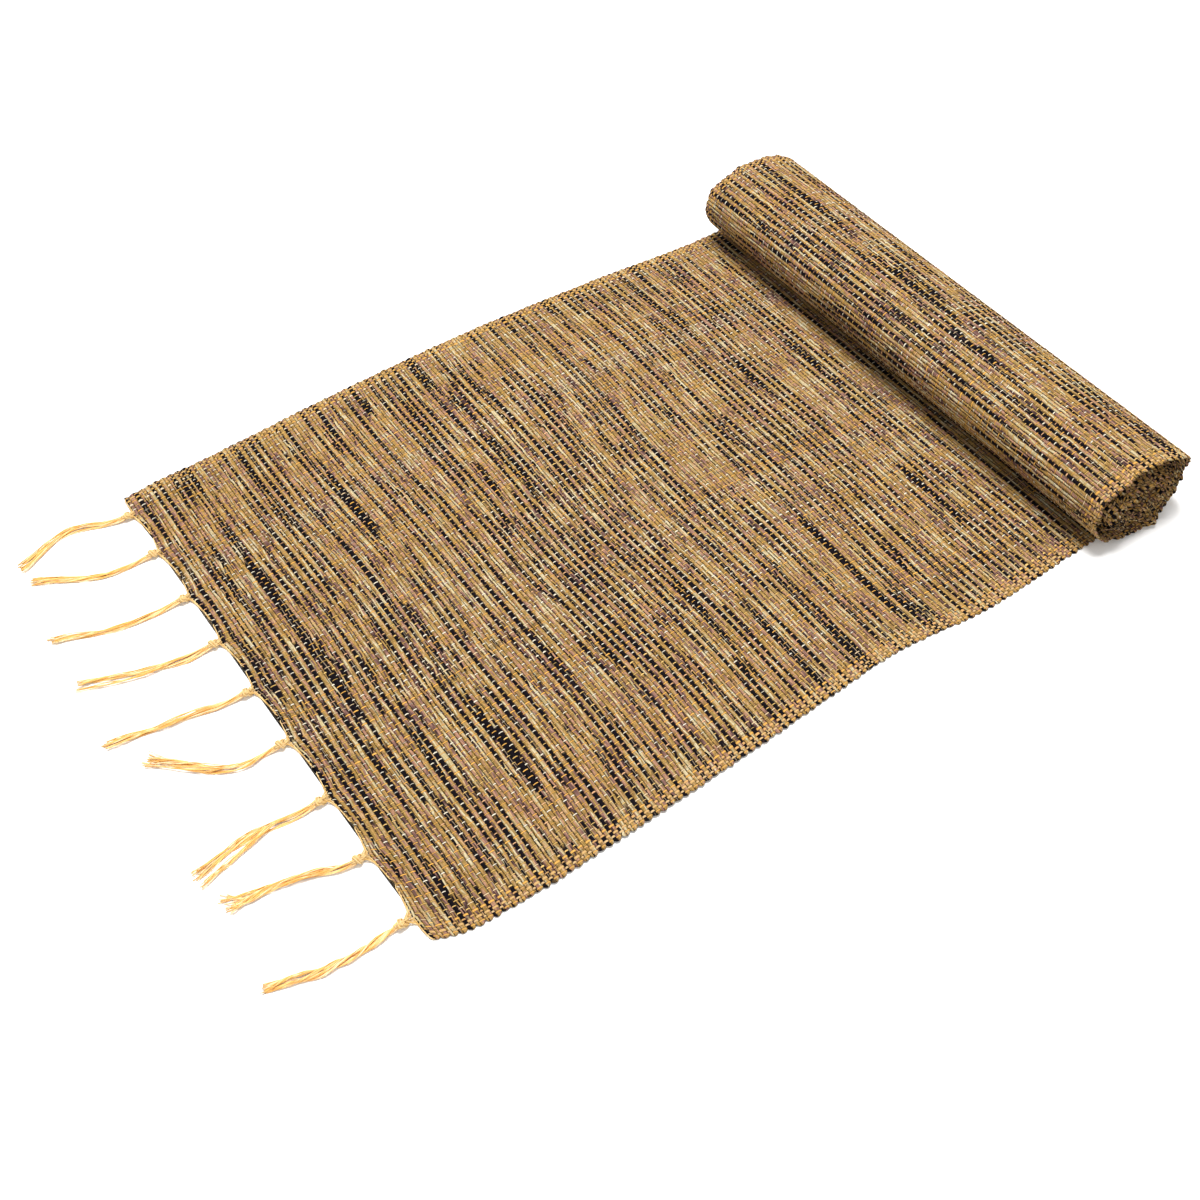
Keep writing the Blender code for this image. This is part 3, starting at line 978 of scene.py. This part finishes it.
fringe = {}
for number, lay in enumerate(TASSELS):
    k, knot = number + 1, KNOT_PLACES[number]
    lines = gather_lines(number, GATHER_POINTS)
    radii = np.full(lines.shape[:2], THREAD_RADIUS * 0.95)
    gather = thread_object(f"warp_ends_{k}", lines, radii, 6, warp_gold)
    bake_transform(gather)
    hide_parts(f"warp_gather_{k}")
    lines = knot_lines(0.92)
    lines = lines * np.array([-1.0, (-1) ** number, 1.0]) + np.array([knot.x, knot.y, KNOT_HEIGHT])
    radii = np.full(lines.shape[:2], THREAD_RADIUS * 1.15)
    tied = thread_object(f"overhand_knot_{k}", lines, radii, 6, knot_gold)
    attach(tied, f"knot_{k}")
    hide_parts(f"knot_{k}")
    out, across, up = tassel_lines(lay, TASSEL_POINTS)
    share = np.linspace(0, 1, TASSEL_POINTS)[None, :]
    lines = np.stack([knot.x - out, knot.y + across, lay_on_table(up, share, KNOT_HEIGHT)], axis=-1)
    radii = np.full(lines.shape[:2], THREAD_RADIUS)
    hanging = thread_object(f"loose_tassel_{k}", lines, radii, 6, tassel_gold)
    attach(hanging, f"tassel_{k}")
    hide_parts(f"tassel_{k}")
    fringe[k] = (gather, tied, hanging)
print("fringe:", {k: sum(len(piece.data.polygons) for piece in set_) for k, set_ in fringe.items()})

# %% The wound-up fringe
INNER_START = CLOTH_LENGTH
INNER_GATHER, INNER_KNOT, INNER_TASSEL = 6.0 * MM, 7.0 * MM, 62 * MM


def along_core(out, across, up):
    """Points of the pressed fringe: out from the cloth's inner end along the winding's line."""
    return np.stack(beside_line(INNER_START + out, across, up), axis=-1)


core_fringe = []
for number in range(len(TASSELS)):
    k = number + 1
    middle = FLAT_LOW.y + (number + 0.5) * TASSEL_PITCH
    share = np.linspace(0, 1, 10)[None, :]
    place = (np.arange(8)[:, None] + 0.5) / 8 - 0.5
    across = middle + place * ((1 - share) ** 2 * (TASSEL_PITCH - 8 * MM) + 7 * MM)
    lines = along_core(-1 * MM + share * (INNER_GATHER + 1 * MM) + 0 * place, across, 0 * across)
    gather = thread_object(f"inner_warp_ends_{k}", lines, np.full(lines.shape[:2], 0.4 * MM), 5, warp_gold)
    lines = knot_lines(1.0)
    centre = INNER_GATHER + INNER_KNOT / 2
    lines = along_core(centre + lines[..., 0], middle + lines[..., 1], lines[..., 2] * 0.16)
    tied = thread_object(f"inner_overhand_knot_{k}", lines, np.full(lines.shape[:2], 0.26 * MM), 5, knot_gold)
    share = np.linspace(0, 1, 40)[None, :]
    sway = 0.8 * MM * np.sin(share * 5 + place * 9 + number)
    out = INNER_GATHER + INNER_KNOT - 1 * MM + share * INNER_TASSEL * (1 + 0.03 * np.sin(place * 40))
    lines = along_core(out, middle + place * 7 * MM + sway, 0.15 * MM * np.sin(place * 60 + share * 9))
    radii = np.full(lines.shape[:2], 0.38 * MM)
    hanging = thread_object(f"inner_loose_tassel_{k}", lines, radii, 5, tassel_gold)
    nodes = (f"inner_gather_{k}", f"inner_knot_{k}", f"inner_tassel_{k}")
    for piece, node in zip((gather, tied, hanging), nodes):
        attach(piece, "roll")
        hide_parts(node)
        core_fringe.append(piece)
print("pieces pressed in the core:", len(core_fringe))

# %% [markdown]
# ## All the cloth's picks
#
# The strips together are the whole cut of cloth.

# %% Picks in the strips
outer_fringe = [piece for pieces in fringe.values() for piece in pieces]
for strip, (body, picks, held) in hold_out.items():
    carried = outer_fringe if strip.name == "cloth_flat_1" else ()
    carried = core_fringe if strip is inner else carried
total = sum(picks for body, picks, held in hold_out.values()) + BEND_END - BEND_START
print("picks in all strips:", total, "of", PICKS)

# %% [markdown]
# ## The floor
#
# One large pale sheet under everything, a hair below the runner so that nothing flickers.

# %% Floor
floor_mesh = bmesh.new()
bmesh.ops.create_grid(floor_mesh, x_segments=1, y_segments=1, size=6.0)
bmesh.ops.translate(floor_mesh, vec=(0, 0, -0.05 * MM), verts=floor_mesh.verts)
floor_data = bpy.data.meshes.new("floor")
floor_mesh.to_mesh(floor_data)
floor_mesh.free()
floor = bpy.data.objects.new("floor", floor_data)
scene.collection.objects.link(floor)
paper = Finish("pale_paper", 0.9)
paper.shader.inputs["Base Color"].default_value = (0.92, 0.92, 0.915, 1.0)
floor_data.materials.append(paper.material)
